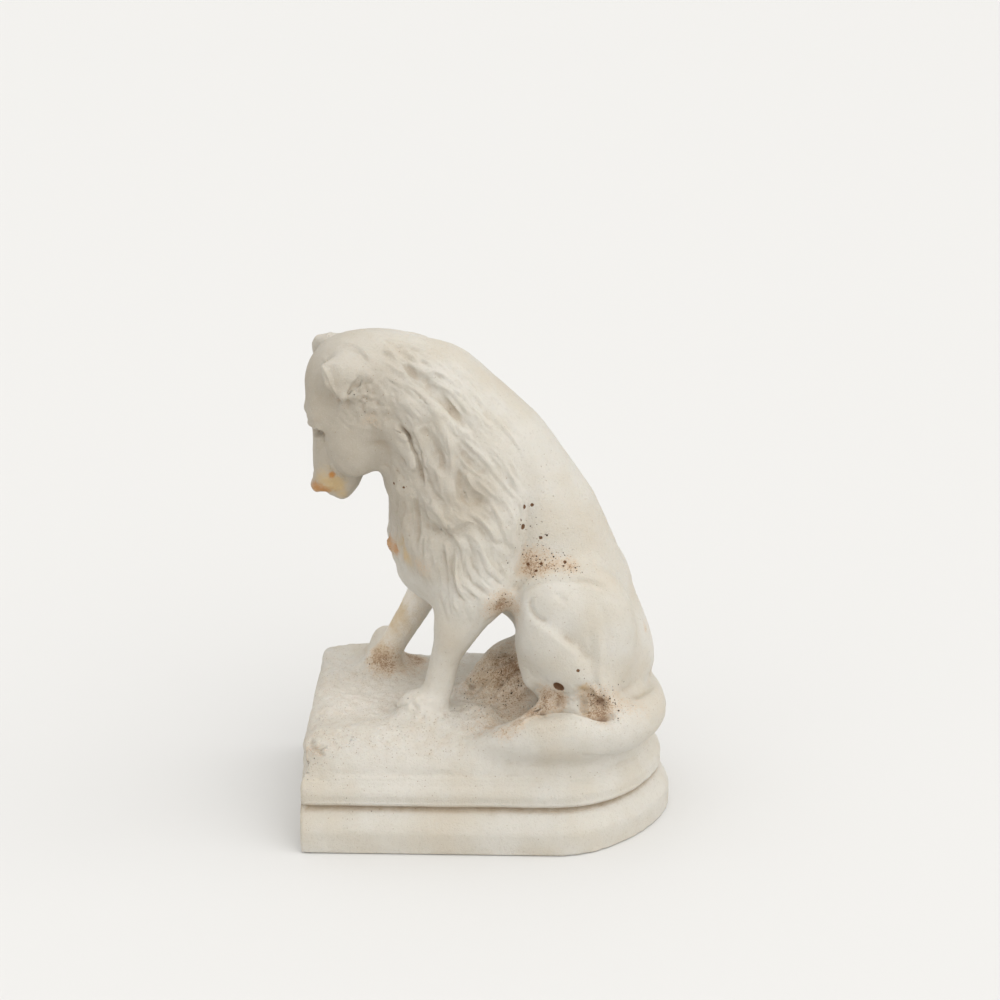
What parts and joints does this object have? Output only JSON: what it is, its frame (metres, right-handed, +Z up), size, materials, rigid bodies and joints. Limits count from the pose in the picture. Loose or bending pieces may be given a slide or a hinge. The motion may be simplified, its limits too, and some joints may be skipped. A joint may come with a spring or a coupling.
{
  "type": "dog bookend",
  "caption": "Cast stone bookend: a long-haired dog sits with its head bowed on a moulded block with one flat end for the books.",
  "frame": {"origin": "middle of the underside's bounding box", "axes": "+Z up, the dog faces -X towards the flat book end, its left side is -Y"},
  "size_m": [0.1171, 0.086, 0.1574],
  "materials": {
    "stone": "matt cream cast stone with warm grey shadows, small pores and ochre and brown stains"
  },
  "bodies": {
    "root": {"dog_bookend": "stone"}
  },
  "joints": []
}
